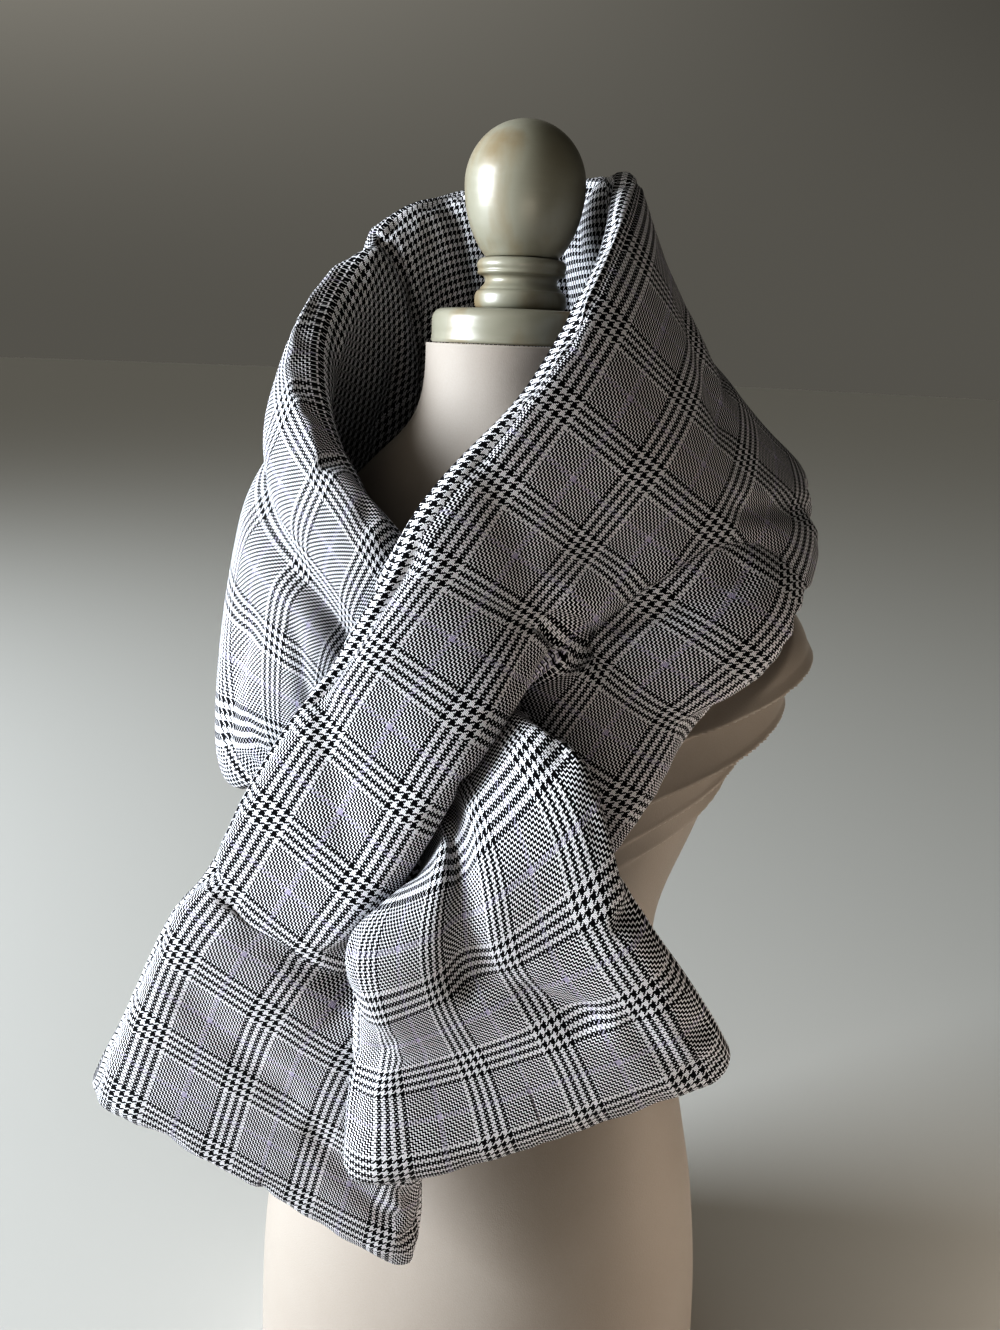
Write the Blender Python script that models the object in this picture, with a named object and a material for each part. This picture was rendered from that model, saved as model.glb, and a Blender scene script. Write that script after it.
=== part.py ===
# Puffer scarf wound round a limbless dress form, with one end pulled through a slit in the other.
# Metres, +Z up, origin in the middle of the form's flat underside, the form's front towards -Y.
# The scarf is one padded strip of cloth. It is described line by line across its width, and each stretch
# of it that shows is a solid of its own, a fraction of a millimetre from the next.
import math

import bmesh
import bpy
import numpy as np
from mathutils import Vector

for old in list(bpy.data.objects):
    bpy.data.objects.remove(old, do_unlink=True)

MM = 0.001
REPEAT = 56.0                   # one repeat of the plaid, the unit along the strip
WIDTH = 218.0                   # the finished width
CLEAR = 2.0                     # cloth to form where they meet
SEAM_GAP = 0.4                  # between one stretch and the next, less where the cloth is gathered
ACROSS = 18                     # facets across the strip, an even number
ALONG = 17.0                    # length of a facet along the strip

# The strip, a row for each line across it. repeat: place along the strip from the first end; then the neck
# edge, the middle and the outer edge, each as its turn round the form's axis in degrees from the front, its
# distance from the axis and its height; last, half the padding's thickness.
STRIP = [
    # repeat   neck edge        middle           outer edge      half
    (-0.45,  -34, 287, 334,   -15, 212, 281,    11, 178, 236,   11),
    (1.0,    -30, 264, 409,   -10, 203, 357,    16, 174, 310,   11),
    (2.0,    -26, 248, 461,    -5, 198, 407,    22, 171, 358,   11),
    (3.0,    -20, 232, 509,     3, 189, 453,    29, 168, 408,   11),
    (4.0,    -15, 217, 556,    12, 180, 500,    36, 168, 456,   11),
    (5.0,     -9, 200, 602,    19, 174, 547,    44, 172, 500,   11),
    (6.0,     -3, 181, 644,    26, 166, 590,    54, 172, 538,   11),
    (7.0,      3, 164, 686,    36, 150, 631,    66, 170, 577,   11),
    (8.0,     11, 141, 730,    49, 134, 667,    78, 176, 612,   10),
    (9.0,     24, 115, 770,    65, 134, 705,    91, 190, 645,   10),
    (10.0,    41,  88, 815,    84, 126, 740,   104, 194, 678,   10),
    (11.0,    68,  64, 855,   103, 117, 770,   117, 189, 708,   10),
    (12.5,   122,  58, 893,   132,  98, 798,   138, 172, 718,   11),
    (14.0,   172,  74, 899,   162,  92, 798,   162, 156, 706,   12),
    (16.0,   212, 100, 897,   194, 102, 792,   192, 156, 694,   12),
    (18.0,   248, 123, 868,   234, 126, 774,   232, 172, 656,   12),
    (19.3,   276, 136, 828,   264, 150, 722,   270, 182, 574,   12),
    (20.2,   298, 139, 793,   291, 163, 680,   305, 176, 508,   13),
    (21.0,   318, 136, 760,   312, 162, 660,   332, 180, 526,   14),
    (22.0,   340, 127, 723,   336, 155, 640,   343, 172, 540,   14),
    (23.2,   360, 134, 680,   351, 150, 612,   350, 164, 540,   14),
    (24.2,   372, 132, 640,   363, 150, 577,   356, 161, 520,   12),
    (25.0,   384, 141, 617,   372, 156, 556,   367, 164, 516,    9),
    (25.6,   390, 170, 607,   379, 188, 552,   374, 193, 517,    7),
    (26.2,   396, 209, 590,   381, 220, 532,   368, 224, 505,    8),
    (27.0,   401, 235, 545,   382, 220, 486,   366, 230, 456,   11),
    (28.0,   408, 248, 490,   388, 217, 440,   366, 231, 409,   12),
    (29.3,   416, 257, 424,   394, 227, 374,   367, 239, 343,   11),
]

# The slit, in the middle of the width: its ends in repeats, how far the near lip is lifted over the end that
# goes through it and the far lip pressed under it, and the share of the width that curls under at the near
# lip. The hollow of the far lip ends on a slant, later the farther out across the strip.
SLIT = {"low": 2.9, "high": 6.95, "lift": 33.0, "drop": 29.0, "curl": 0.055, "slant": 6.0}

# The largest folds, pressed into the outer face: from and to (repeat, share of the width), half width, depth.
FOLDS = [
    # from          to            half  depth
    (8.7, 0.78,     6.5, 0.53,    16.0, 8.0),
    (20.0, 0.34,    23.6, 0.42,   15.0, 11.0),
    (25.5, 0.50,    27.0, 0.50,   15.0, 9.0),
    (27.0, 0.50,    27.9, 0.28,   14.0, 6.0),
]

# The stretches that show: name, first and last repeat.
STRETCHES = [
    ("scarf_front_end", -0.45, 7.2),
    ("scarf_shoulder", 7.2, 11.4),
    ("scarf_collar", 11.4, 19.4),
    ("scarf_left_band", 19.4, 24.5),
    ("scarf_pulled_end", 24.5, 29.3),
]

# The dress form's body: height, half width, depth in front of the axis, depth behind it.
BODY = [
    (0, 176, 155, 146), (60, 174, 155, 148), (140, 168, 152, 142), (220, 156, 134, 126), (290, 140, 112, 108),
    (350, 122, 97, 97), (410, 118, 94, 94), (470, 134, 100, 100), (520, 150, 108, 104), (560, 161, 110, 108),
    (595, 169, 107, 110), (622, 171, 101, 110), (646, 166, 93, 108), (666, 152, 86, 104), (685, 130, 79, 96),
    (702, 110, 73, 87), (718, 93, 67, 77), (736, 73, 62, 67), (755, 61, 59, 60), (775, 57.5, 57.5, 57.5),
    (790, 57.5, 57.5, 57.5),
]
BODY_SQUARE = 2.15              # 2 is an ellipse, more is squarer
ARMHOLE = {"turn": 101.0, "height": 618.0, "out": 16.0, "wide": 24.0, "tall": 40.0}   # the bunched cover
BODY_SIDES = 44

# The turned wood on the neck: radius and height above the neck's top, from the bottom up.
NECK_TOP = 790.0
CAP = [(55.0, 0.3), (55.0, 15.0), (54.0, 18.0), (51.5, 20.2), (48.5, 21.0)]
RINGS = [(26.0, 21.3), (28.0, 23.0), (28.8, 27.5), (28.0, 32.0), (24.5, 35.5), (22.4, 37.5), (22.4, 39.5),
         (25.5, 41.5), (27.6, 44.0), (27.9, 46.5), (26.8, 49.5), (24.0, 51.7)]
BALL = {"radius": 37.0, "widest": 94.0, "seat": 22.5, "bottom": 52.0}     # rounder above than below
WOOD_SIDES = 36


def spline(at, values, where):
    """Natural cubic through a table: places, the values there, the places wanted."""
    at, values, where = (np.asarray(a, float) for a in (at, values, where))
    step = np.diff(at)
    system, right = np.eye(len(at)), np.zeros_like(values)
    for i in range(1, len(at) - 1):
        system[i, i - 1:i + 2] = step[i - 1], 2 * (step[i - 1] + step[i]), step[i]
        right[i] = 6 * ((values[i + 1] - values[i]) / step[i] - (values[i] - values[i - 1]) / step[i - 1])
    bend = np.linalg.solve(system, right)
    k = np.clip(np.searchsorted(at, where, side="right") - 1, 0, len(at) - 2)
    wide = (len(where),) + (1,) * (values.ndim - 1)
    h, up, down = (a.reshape(wide) for a in (step[k], where - at[k], at[k + 1] - where))
    return ((bend[k] * down ** 3 + bend[k + 1] * up ** 3) / (6 * h)
            + (values[k] / h - bend[k] * h / 6) * down + (values[k + 1] / h - bend[k + 1] * h / 6) * up)


def body_radius(turn, height):
    """Distance of the form's surface from its axis: a superellipse at each height, and the bunched cover.

    Above the cap on the neck it falls away, a millimetre in and a millimetre up.
    """
    table = np.array(BODY, float)
    within = np.clip(height, 0, NECK_TOP)
    size = spline(table[:, 0], table[:, 1:], within.ravel()).reshape(height.shape + (3,))
    depth = np.where(np.cos(turn) > 0, size[..., 1], size[..., 2])
    power = np.abs(np.sin(turn) / size[..., 0]) ** BODY_SQUARE + np.abs(np.cos(turn) / depth) ** BODY_SQUARE
    aside = (np.degrees(turn) - ARMHOLE["turn"] + 180) % 360 - 180
    bunch = ARMHOLE["out"] * np.exp(-(aside / ARMHOLE["wide"]) ** 2
                                    - ((height - ARMHOLE["height"]) / ARMHOLE["tall"]) ** 2)
    return np.maximum(power ** (-1 / BODY_SQUARE) + bunch - np.maximum(height - NECK_TOP - 21, 0), 0)


def slit_open(repeat, share, side):
    """How far the slit stands open: 0 at its ends and beyond, 1 at its middle.

    The far half's opening ends later the farther out across the strip.
    """
    last = SLIT["high"] + (SLIT["slant"] * (share - 0.5) if side > 0 else 0 * share)
    within = np.clip((repeat[:, None] - SLIT["low"]) / (last[None, :] - SLIT["low"]), 0, 1)
    return np.sin(math.pi * within) ** (0.5 if side < 0 else 0.7)


def edge(distance, reach):
    """Share of the full thickness at a distance from a sewn edge: a round, plump edge."""
    x = np.clip(distance / reach, 0, 1)
    return np.sqrt(np.clip(1 - (1 - x) ** 5, 0, 1))


def middle_surface(repeat, share, side):
    """The strip's middle surface on a grid, and half its thickness there.

    Across each line it is a parabola in (turn, radius, height), splined along the strip. Beside the slit the
    near half (side -1) is lifted, its lip curled under, and the far half (side 1) lowered. It never comes
    nearer the form than CLEAR, passing softly from its own radius to the least one.
    Half the thickness falls to nothing in a round edge at every sewn edge, the slit's lips too.
    """
    table = np.array(STRIP, float)
    row = spline(table[:, 0], table[:, 1:], repeat)
    gape = slit_open(repeat, share, side)
    curled = np.clip((share - 0.36) / 0.14, 0, 1) ** 2 if side < 0 else 0 * share
    t = (share[None, :] - SLIT["curl"] * curled * gape)[:, :, None]
    p = (row[:, None, 0:3] * (1 - t) * (1 - 2 * t) + row[:, None, 3:6] * 4 * t * (1 - t)
         + row[:, None, 6:9] * t * (2 * t - 1))
    lip = np.clip(1 - np.abs(2 * share - 1), 0, 1) ** 1.5 * gape
    p[..., 1] += SLIT["lift"] * (lip - 0.25 * curled * gape) if side < 0 else -SLIT["drop"] * lip
    half = row[:, 9][:, None] * edge(np.minimum(share, 1 - share), 0.2)
    half *= edge(np.minimum(repeat - table[0, 0], table[-1, 0] - repeat), 0.8)[:, None]
    beside = (repeat > SLIT["low"] - 1e-6) & (repeat < SLIT["high"] + 1e-6)
    half[beside] *= edge(np.abs(share - 0.5), 0.12)
    turn = np.radians(p[..., 0])
    height = p[..., 2]
    slope = (body_radius(turn, height + 1) - body_radius(turn, height - 1)) / 2
    least = body_radius(turn, height) + (half + CLEAR) * np.sqrt(1 + slope ** 2)
    radius = (p[..., 1] + least + np.sqrt((p[..., 1] - least) ** 2 + 16)) / 2
    return np.stack([radius * np.sin(turn), -radius * np.cos(turn), p[..., 2]], -1), half


def fold_depth(repeat, share):
    """Depth of the folds: each is a soft trough along a straight line on the cloth."""
    along, across = repeat[:, None] * REPEAT, share[None, :] * WIDTH
    depth = np.zeros((len(repeat), len(share)))
    for r0, s0, r1, s1, half, deep in FOLDS:
        dx, dy = (r1 - r0) * REPEAT, (s1 - s0) * WIDTH
        length = math.hypot(dx, dy)
        x, y = along - r0 * REPEAT, across - s0 * WIDTH
        on, off = (x * dx + y * dy) / length, (x * dy - y * dx) / length
        past = np.maximum(np.maximum(-on, on - length), 0)
        depth += deep * np.exp(-(off / half) ** 2 - (past / half) ** 2)
    return depth


def two_faces(repeat, share, side):
    """Outer and inner points: half the thickness laid off on both sides along the surface's normal."""
    step = 0.01
    middle, half = middle_surface(repeat, share, side)
    along = middle_surface(repeat + step, share, side)[0] - middle_surface(repeat - step, share, side)[0]
    across = middle_surface(repeat, share + step, side)[0] - middle_surface(repeat, share - step, side)[0]
    normal = np.cross(across, along)
    normal /= np.linalg.norm(normal, axis=-1, keepdims=True)
    dip = np.minimum(fold_depth(repeat, share), 1.3 * half)
    return middle + normal * (half - dip)[..., None], middle - normal * half[..., None], half


def stretch(name, first, last, colour):
    """One stretch of the scarf as a closed mesh, cut flat where the next one joins it."""
    hems = (STRIP[0][0], STRIP[-1][0])
    trim = SEAM_GAP / 2 / REPEAT
    stops = [first + (0 if first in hems else trim), last - (0 if last in hems else trim)]
    stops[1:1] = [s for s in (SLIT["low"], SLIT["high"]) if first < s < last]
    repeat = np.concatenate([np.linspace(a, b, max(2, round((b - a) * REPEAT / ALONG)) + 1)[:-1]
                             for a, b in zip(stops, stops[1:])] + [[stops[-1]]])
    x = np.linspace(-1, 1, ACROSS + 1)
    share = 0.5 + 0.5 * np.sign(x) * (1 - (1 - np.abs(x)) ** 1.25)
    middle = ACROSS // 2

    mesh = bmesh.new()
    grid = {}
    for side in (-1, 1):
        outer, inner, half = two_faces(repeat, share, side)
        for j in (range(middle + 1) if side < 0 else range(middle, ACROSS + 1)):
            for i, r in enumerate(repeat):
                if side > 0 and j == middle and not SLIT["low"] + 1e-6 < r < SLIT["high"] - 1e-6:
                    grid[side, i, j] = grid[-1, i, j]
                    continue
                top = mesh.verts.new(outer[i, j] * MM)
                sewn = half[i, j] < 1e-6
                grid[side, i, j] = (top, top if sewn else mesh.verts.new(inner[i, j] * MM))

    def face(*corners):
        ring = [c for k, c in enumerate(corners) if c is not corners[k - 1]]
        if len(ring) > 2:
            mesh.faces.new(ring)

    def cell(*corners):
        """Outer and inner face of a cell; where three corners are sewn, each is split from the fourth."""
        free = [k for k, (top, low) in enumerate(corners) if top is not low]
        start = free[0] if len(free) == 1 else 0
        corners = corners[start:] + corners[:start]
        for a, b, c, d in ([top for top, _ in corners], [low for _, low in corners][::-1]):
            if len(free) != 1:
                face(a, b, c, d)
            elif corners[0][0] is a:
                face(a, b, c)
                face(a, c, d)
            else:
                face(d, a, b)
                face(d, b, c)

    for j in range(ACROSS):
        side = -1 if j < middle else 1
        for i in range(len(repeat) - 1):
            cell(grid[side, i, j], grid[side, i, j + 1], grid[side, i + 1, j + 1], grid[side, i + 1, j])
        for i, cut in ((0, first not in hems), (len(repeat) - 1, last not in hems)):
            if cut:
                a, b = grid[side, i, j], grid[side, i, j + 1]
                face(a[0], a[1], b[1], b[0])
    bmesh.ops.triangulate(mesh, faces=mesh.faces[:])
    return finish(name, mesh, colour, 0.9)


def turned(name, profile, colour, roughness):
    """A turned solid on the axis from its outline of (radius, height), closed flat at both ends."""
    mesh = bmesh.new()
    rings = []
    for radius, height in profile:
        ring = [(radius * math.sin(a) * MM, -radius * math.cos(a) * MM, height * MM)
                for a in (2 * math.pi * k / WOOD_SIDES for k in range(WOOD_SIDES))]
        rings.append([mesh.verts.new(p) for p in ring])
    return close_rings(name, mesh, rings, colour, roughness)


def close_rings(name, mesh, rings, colour, roughness):
    """Faces between the rings, and a fan to a middle point at each end."""
    sides = len(rings[0])
    for low, high in zip(rings, rings[1:]):
        for k in range(sides):
            mesh.faces.new([low[k], low[(k + 1) % sides], high[(k + 1) % sides], high[k]])
    for ring in (rings[0], rings[-1]):
        top = mesh.verts.new(sum((v.co for v in ring), Vector()) / sides)
        for k in range(sides):
            mesh.faces.new([ring[k], ring[(k + 1) % sides], top])
    return finish(name, mesh, colour, roughness)


def dress_form_body():
    """The form's body: smooth superellipse sections from the flat underside to the neck's flat top."""
    table = np.array(BODY, float)
    steps = ((0, 560, 14), (560, 700, 7), (700, 760, 5), (760, NECK_TOP, 1))
    heights = np.concatenate([np.linspace(a, b, n + 1)[:-1] for a, b, n in steps] + [[NECK_TOP]])
    turns = np.linspace(0, 2 * math.pi, BODY_SIDES, endpoint=False)
    mesh = bmesh.new()
    rings = []
    for height in heights:
        radius = body_radius(turns, np.full(BODY_SIDES, height))
        rings.append([mesh.verts.new((r * math.sin(a) * MM, -r * math.cos(a) * MM, height * MM))
                      for r, a in zip(radius, turns)])
    return close_rings("dress_form_body", mesh, rings, (0.83, 0.79, 0.72), 0.6)


def ball():
    """The ball on top: half a sphere above its widest line, half an egg below, cut off flat at its seat."""
    low = -math.acos(BALL["seat"] / BALL["radius"])
    deep = (BALL["widest"] - BALL["bottom"]) / math.sin(-low)
    profile = []
    for a in np.linspace(low, math.radians(84), 16):
        tall = deep if a < 0 else BALL["radius"]
        profile.append((BALL["radius"] * math.cos(a), NECK_TOP + BALL["widest"] + tall * math.sin(a)))
    return turned("finial_ball", profile, (0.78, 0.74, 0.62), 0.35)


def finish(name, mesh, colour, roughness):
    """Make the object: normals out, smooth shading, its own material."""
    bmesh.ops.recalc_face_normals(mesh, faces=mesh.faces[:])
    data = bpy.data.meshes.new(name)
    mesh.to_mesh(data)
    mesh.free()
    data.shade_smooth()
    piece = bpy.data.objects.new(name, data)
    bpy.context.scene.collection.objects.link(piece)
    material = bpy.data.materials.new(name)
    material.use_nodes = True
    shader = material.node_tree.nodes["Principled BSDF"]
    shader.inputs["Base Color"].default_value = (*colour, 1)
    shader.inputs["Roughness"].default_value = roughness
    data.materials.append(material)
    return piece


CLOTH_GREY = (0.30, 0.30, 0.33)
WOOD_CREAM = (0.78, 0.74, 0.62)

for stretch_name, first_repeat, last_repeat in STRETCHES:
    stretch(stretch_name, first_repeat, last_repeat, CLOTH_GREY)
dress_form_body()
turned("neck_cap", [(r, NECK_TOP + h) for r, h in CAP], WOOD_CREAM, 0.35)
turned("finial_rings", [(r, NECK_TOP + h) for r, h in RINGS], WOOD_CREAM, 0.35)
ball()
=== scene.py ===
import math

import bpy
import numpy as np
from mathutils import Matrix, Vector


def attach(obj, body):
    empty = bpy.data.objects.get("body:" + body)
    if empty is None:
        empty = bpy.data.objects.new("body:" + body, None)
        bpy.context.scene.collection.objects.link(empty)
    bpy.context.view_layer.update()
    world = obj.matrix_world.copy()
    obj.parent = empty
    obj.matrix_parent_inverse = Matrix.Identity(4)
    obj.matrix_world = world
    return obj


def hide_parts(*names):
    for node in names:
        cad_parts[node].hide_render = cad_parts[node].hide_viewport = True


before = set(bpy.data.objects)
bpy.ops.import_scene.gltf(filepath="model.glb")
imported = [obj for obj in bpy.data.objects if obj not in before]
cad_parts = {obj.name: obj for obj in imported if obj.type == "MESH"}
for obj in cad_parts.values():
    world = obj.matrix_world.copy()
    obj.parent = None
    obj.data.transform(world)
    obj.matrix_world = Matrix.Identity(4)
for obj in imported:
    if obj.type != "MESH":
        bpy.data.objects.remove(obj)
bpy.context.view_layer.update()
scene = bpy.context.scene
mm = 0.001
print("frame loaded")

# The camera, as the photograph was taken.
photoView = {
    "turn": 25.0,  # round the form, then the tip down and the lean to one side, in degrees
    "tip": 16.2,
    "lean": 2.5,
    "away": 0.726,  # from the form's axis, and its height, in metres
    "height": 0.79,
    "focal": 1100.0,  # with the sideways shift, in pixels of a picture this tall
    "shift": 4.0,
    "tall": 1330.0,
    "sensor": 36.0,
}


def placeCamera(view):
    # right and up start level and upright, then turn together by the lean
    turn, tip, lean = (math.radians(view[key]) for key in ("turn", "tip", "lean"))
    outward = np.array([math.sin(turn), -math.cos(turn), 0])
    level = np.array([math.cos(turn), math.sin(turn), 0])
    upright = np.array([0, 0, 1.0])
    forward = -outward * math.cos(tip) - upright * math.sin(tip)
    lifted = -outward * math.sin(tip) + upright * math.cos(tip)
    right = level * math.cos(lean) + lifted * math.sin(lean)
    up = lifted * math.cos(lean) - level * math.sin(lean)
    aside = level * view["shift"] * view["away"] / view["focal"]
    place = outward * view["away"] + upright * view["height"] - aside
    camera = bpy.data.objects.new("camera", bpy.data.cameras.new("camera"))
    scene.collection.objects.link(camera)
    rows = [[right[k], up[k], -forward[k], place[k]] for k in range(3)] + [[0, 0, 0, 1]]
    camera.matrix_world = Matrix(rows)
    camera.data.sensor_width = view["sensor"]
    camera.data.lens = view["focal"] / view["tall"] * view["sensor"]
    scene.camera = camera


placeCamera(photoView)

# The padded strip. Places along it are in plaid repeats and across it in shares of its width from the neck
# edge; the rest is in mm.
scarf = {
    "repeat": 56.0,
    "width": 218.0,
    "clear": 2.0,  # least gap to the form, and how softly the strip gives way to it
    "soft": 4.0,
    "rows": 3.4,  # the mesh: length of a row, columns in each half, and how much closer they are at the edges
    "columns": 40,
    "crowd": 0.55,
    # place along the strip; its neck edge, middle and outer edge, each as turn round the form in degrees,
    # distance from the axis and height; half the padding
    "lines": [
        (-0.45, -34, 287, 334, -15, 212, 281, 11, 178, 236, 11),
        (1.0, -30, 264, 409, -10, 203, 357, 16, 174, 310, 11),
        (2.0, -26, 248, 461, -5, 198, 407, 22, 171, 358, 11),
        (3.0, -20, 232, 509, 3, 189, 453, 29, 168, 408, 11),
        (4.0, -15, 217, 556, 12, 180, 500, 36, 168, 456, 11),
        (5.0, -9, 200, 602, 19, 174, 547, 44, 172, 500, 11),
        (6.0, -3, 181, 644, 26, 166, 590, 54, 172, 538, 11),
        (7.0, 3, 164, 686, 36, 150, 631, 66, 170, 577, 11),
        (8.0, 11, 141, 730, 49, 134, 667, 78, 176, 612, 10),
        (9.0, 24, 115, 770, 65, 134, 705, 91, 190, 645, 10),
        (10.0, 41, 88, 815, 84, 126, 740, 104, 194, 678, 10),
        (11.0, 68, 64, 855, 103, 117, 770, 117, 189, 708, 10),
        (12.5, 122, 58, 893, 132, 98, 798, 138, 172, 718, 11),
        (14.0, 172, 74, 899, 162, 92, 798, 162, 156, 706, 12),
        (16.0, 212, 100, 897, 194, 102, 792, 192, 156, 694, 12),
        (18.0, 248, 118, 877, 234, 126, 774, 232, 172, 656, 12),
        (19.3, 276, 120, 836, 264, 144, 722, 270, 182, 574, 12),
        (20.2, 298, 122, 797, 291, 157, 680, 305, 176, 508, 13),
        (21.0, 318, 124, 761, 312, 157, 660, 332, 180, 526, 14),
        (22.0, 340, 127, 723, 336, 155, 640, 343, 172, 540, 14),
        (23.2, 360, 134, 680, 351, 150, 612, 350, 164, 540, 14),
        (24.2, 372, 132, 640, 363, 150, 577, 356, 161, 520, 12),
        (25.0, 384, 141, 617, 372, 156, 556, 367, 164, 516, 9),
        (25.6, 390, 170, 607, 379, 188, 552, 374, 193, 517, 7),
        (26.2, 396, 209, 590, 381, 220, 532, 368, 224, 505, 8),
        (27.0, 401, 235, 545, 382, 220, 486, 366, 230, 456, 11),
        (28.0, 408, 248, 490, 388, 217, 440, 366, 231, 409, 12),
        (29.3, 416, 257, 424, 394, 227, 374, 367, 239, 343, 11),
    ],
    "slim": 0.9,  # of the padding in the table
    "edgeReach": 43.0,  # how far in from the long edges and the hems the padding thins
    "hemReach": 45.0,
    # the slit: its two ends, and beside it a near lip towards the neck edge and a far lip
    "slit": {
        "low": 2.9,
        "high": 6.95,
        "lift": 33.0,  # the near lip stands out and the far one sinks
        "drop": 29.0,
        "spread": 1.5,  # power by which both die away across the strip
        "near": (0.5, 0.35),  # power of the opening's sine, and how much it grows to the high end
        "far": (0.7, 0.3),
        "slant": 6.0,  # repeats by which the far half's opening ends later for a whole width outwards
        "curl": 0.055,  # share of the width by which the near lip rolls under, from where, over how much
        "curlFrom": 0.36,
        "curlOver": 0.14,
        "curlDip": 0.25,  # share of the lift by which it dips there
        "under": 0.85,  # how far the far lip reaches under the near one at the low end, over how much
        "underOver": 0.16,
        "round": 26.0,  # reach of the round lips, and of the blend past the slit's ends
        "blend": 10.0,
        "level": 0.5,  # repeats before the high end in which the outer face comes level
    },
    # from (repeat, share) to (repeat, share), half width and depth
    "folds": [
        (8.7, 0.75, 7.6, 0.61, 8.0, 5.0),
        (20.0, 0.34, 23.6, 0.42, 15.0, 11.0),
        (19.6, 0.30, 23.4, 0.44, 6.0, 5.0),
        (25.5, 0.50, 27.0, 0.50, 15.0, 9.0),
        (27.0, 0.50, 27.9, 0.28, 14.0, 6.0),
        (25.8, 0.55, 27.2, 0.52, 6.0, 3.0),
        (27.5, 0.36, 28.0, 0.24, 6.0, 3.0),
        (3.05, 0.03, 2.95, 0.14, 6.0, 2.6),
        (2.75, 0.24, 2.7, 0.44, 9.0, 2.2),
        (1.6, 0.20, 1.2, 0.50, 12.0, 2.5),
        (0.9, 0.62, 0.3, 0.90, 9.0, 3.0),
        (5.2, 0.08, 4.3, 0.30, 10.0, 2.5),
        (8.0, 0.10, 7.2, 0.34, 11.0, 2.5),
        (10.2, 0.92, 9.4, 0.66, 8.0, 3.5),
        (11.2, 0.30, 10.2, 0.50, 10.0, 2.5),
        (20.9, 0.98, 21.6, 0.62, 9.0, 3.5),
        (22.3, 0.55, 22.9, 0.80, 9.0, 3.0),
        (28.9, 0.10, 28.2, 0.16, 7.0, 2.5),
    ],
    "foldLimit": (1.5, 0.1),  # a fold's greatest depth: this many half thicknesses, and a little more
    # where the whole strip sinks, or rises where the depth is below nothing, by the same columns
    "valleys": [
        (8.9, 0.79, 7.3, 0.575, 17.0, 14.0),
        (8.4, 0.57, 7.5, 0.44, 15.0, -3.0),
    ],
    # tucks in the lining inside the collar, by the same columns, and the most of the thickness that they take
    "tucks": [
        (14.6, 0.0, 14.9, 0.6, 8.0, 5.0),
        (16.0, 0.0, 16.3, 0.7, 10.0, 6.0),
        (17.3, 0.0, 17.2, 0.7, 9.0, 6.0),
        (18.6, 0.0, 18.2, 0.6, 8.0, 5.0),
    ],
    "tuckLimit": 0.9,
    # the rounded corners: radius, how many radii away from the hem they still draw it in, and by what share
    "corner": (20.0, 2.2, 0.8),
    # gathers along the sewn edges: height, where they are highest, and along the edges and the hems the
    # drift of the first wave (height, length) and each wave's (height, length, phase)
    "pucker": 0.24,
    "puckerReach": 6.0,
    "edgeDrift": (1.2, 19.0),
    "edgeWaves": [(1.0, 3.1, 0.0), (0.7, 5.3, 2.0), (0.5, 9.7, 0.0)],
    "hemDrift": (1.3, 17.0),
    "hemWaves": [(1.0, 3.4, 0.0), (0.7, 5.9, 1.0)],
    # the lining rolled over the neck edge
    "welt": {
        "start": 3.5,  # its width at the start, the rise for a repeat and the most
        "rise": 0.75,
        "most": 12.0,
        "fade": (12.0, 15.0),  # repeats between which it fades out, and up to where the cloth shows it
        "shown": 13.0,
        "still": 0.8,  # share by which the gathers beside it are stilled as it grows between two widths
        "stillBetween": (2, 6),
        "groove": 1.9,  # the seam's trough: depth, half width and the least width of welt that has one
        "grooveWide": 2.0,
        "grooveFrom": 0.5,
        "grooveThin": 4,  # half thickness under which it grows shallower
    },
}

# The dress form's body.
form = {
    # height, half width, depth in front of the axis and behind it, in mm
    "sections": [
        (0, 176, 155, 146), (60, 174, 155, 148), (140, 168, 152, 142), (220, 156, 134, 126),
        (290, 140, 112, 108), (350, 122, 97, 97), (410, 118, 94, 94), (470, 134, 100, 100),
        (520, 150, 108, 104), (560, 161, 110, 108), (595, 169, 107, 110), (622, 171, 101, 110),
        (646, 166, 93, 108), (666, 152, 86, 104), (685, 130, 79, 96), (702, 110, 73, 87),
        (718, 93, 67, 77), (736, 73, 62, 67), (755, 61, 59, 60), (775, 57.5, 57.5, 57.5),
        (790, 57.5, 57.5, 57.5),
    ],
    "square": 2.15,  # power of the superellipse
    # where the cover is bunched, in degrees and mm, and its size in mm, or in degrees round the form
    "armhole": {"turn": 101.0, "height": 618.0, "out": 16.0, "wide": 24.0, "tall": 40.0},
    "neckTop": 790.0,
    "capTall": 21,
    "sides": 320,
}


def splineThrough(at, values, where):
    # natural cubic: its second differences solve a tridiagonal system, and each span is a cubic of its ends
    at, values, where = (np.asarray(a, float) for a in (at, values, where))
    step = np.diff(at)
    system, right = np.eye(len(at)), np.zeros_like(values)
    for i in range(1, len(at) - 1):
        system[i, i - 1:i + 2] = step[i - 1], 2 * (step[i - 1] + step[i]), step[i]
        right[i] = 6 * ((values[i + 1] - values[i]) / step[i] - (values[i] - values[i - 1]) / step[i - 1])
    bend = np.linalg.solve(system, right.reshape(len(at), -1)).reshape(right.shape)
    k = np.clip(np.searchsorted(at, where, side="right") - 1, 0, len(at) - 2)
    wide = (len(where),) + (1,) * (values.ndim - 1)
    h, up, down = (a.reshape(wide) for a in (step[k], where - at[k], at[k + 1] - where))
    return ((bend[k] * down ** 3 + bend[k + 1] * up ** 3) / (6 * h)
            + (values[k] / h - bend[k] * h / 6) * down + (values[k + 1] / h - bend[k + 1] * h / 6) * up)


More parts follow.
